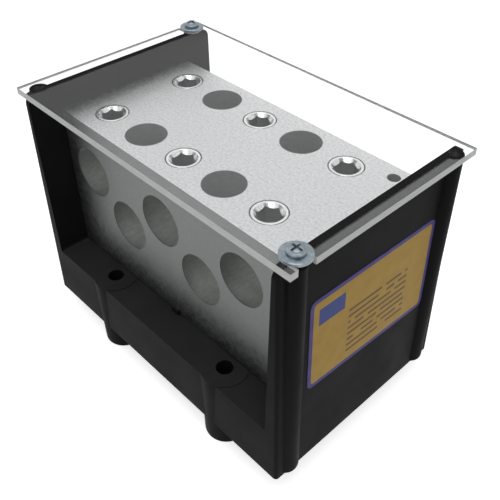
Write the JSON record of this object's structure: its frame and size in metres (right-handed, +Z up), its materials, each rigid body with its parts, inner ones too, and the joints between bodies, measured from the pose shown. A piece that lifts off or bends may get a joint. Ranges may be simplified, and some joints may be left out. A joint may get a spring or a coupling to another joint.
{
  "type": "power distribution block",
  "caption": "Moulded housing with mounting feet holds a drilled connector bar with wire holes and socket set screws, under a clear cover fastened at two corners.",
  "frame": {"origin": "centre of the four mounting feet, on the mounting surface", "axes": "+Z up from the mounting surface to the cover, Y along the wire holes with the pictured front at -Y, +X to the labelled end"},
  "size_m": [0.1732, 0.1106, 0.1381],
  "materials": {
    "moulded_housing": "black moulded thermoplastic, fine satin grain",
    "plated_aluminium": "tin plated, fine sawn grain",
    "plated_set_screw": "tin plated, turned",
    "clear_cover": "clear polycarbonate sheet, cut edges",
    "zinc_plated_steel": "bright zinc plating with a blue tint",
    "printed_label": "printed polyester film"
  },
  "bodies": {
    "block_assembly": {"housing": "moulded_housing", "connector_block": "plated_aluminium", "clear_cover": "clear_cover", "cover_washer_front": "zinc_plated_steel", "cover_washer_back": "zinc_plated_steel", "cover_screw_front": "zinc_plated_steel", "cover_screw_back": "zinc_plated_steel", "side_label": "printed_label", "block_screw_left": "zinc_plated_steel", "block_screw_right": "zinc_plated_steel"},
    "set_screw_front_1_body": {"set_screw_front_1": "plated_set_screw"},
    "set_screw_front_2_body": {"set_screw_front_2": "plated_set_screw"},
    "set_screw_front_3_body": {"set_screw_front_3": "plated_set_screw"},
    "set_screw_front_4_body": {"set_screw_front_4": "plated_set_screw"},
    "set_screw_front_5_body": {"set_screw_front_5": "plated_set_screw"},
    "set_screw_back_1_body": {"set_screw_back_1": "plated_set_screw"},
    "set_screw_back_2_body": {"set_screw_back_2": "plated_set_screw"},
    "set_screw_back_3_body": {"set_screw_back_3": "plated_set_screw"},
    "set_screw_back_4_body": {"set_screw_back_4": "plated_set_screw"},
    "set_screw_back_5_body": {"set_screw_back_5": "plated_set_screw"}
  },
  "joints": [
    {"name": "set_screw_front_1_travel", "type": "slide", "parent": "block_assembly", "child": "set_screw_front_1_body", "axis": [0, 0, 1], "range_m": [-0.0075, 0.003]},
    {"name": "set_screw_front_2_travel", "type": "slide", "parent": "block_assembly", "child": "set_screw_front_2_body", "axis": [0, 0, 1], "range_m": [-0.0075, 0.003]},
    {"name": "set_screw_front_3_travel", "type": "slide", "parent": "block_assembly", "child": "set_screw_front_3_body", "axis": [0, 0, 1], "range_m": [-0.0075, 0.003]},
    {"name": "set_screw_front_4_travel", "type": "slide", "parent": "block_assembly", "child": "set_screw_front_4_body", "axis": [0, 0, 1], "range_m": [-0.0075, 0.003]},
    {"name": "set_screw_front_5_travel", "type": "slide", "parent": "block_assembly", "child": "set_screw_front_5_body", "axis": [0, 0, 1], "range_m": [-0.0075, 0.003]},
    {"name": "set_screw_back_1_travel", "type": "slide", "parent": "block_assembly", "child": "set_screw_back_1_body", "axis": [0, 0, 1], "range_m": [-0.0075, 0.003]},
    {"name": "set_screw_back_2_travel", "type": "slide", "parent": "block_assembly", "child": "set_screw_back_2_body", "axis": [0, 0, 1], "range_m": [-0.0075, 0.003]},
    {"name": "set_screw_back_3_travel", "type": "slide", "parent": "block_assembly", "child": "set_screw_back_3_body", "axis": [0, 0, 1], "range_m": [-0.0075, 0.003]},
    {"name": "set_screw_back_4_travel", "type": "slide", "parent": "block_assembly", "child": "set_screw_back_4_body", "axis": [0, 0, 1], "range_m": [-0.0075, 0.003]},
    {"name": "set_screw_back_5_travel", "type": "slide", "parent": "block_assembly", "child": "set_screw_back_5_body", "axis": [0, 0, 1], "range_m": [-0.0075, 0.003]}
  ]
}
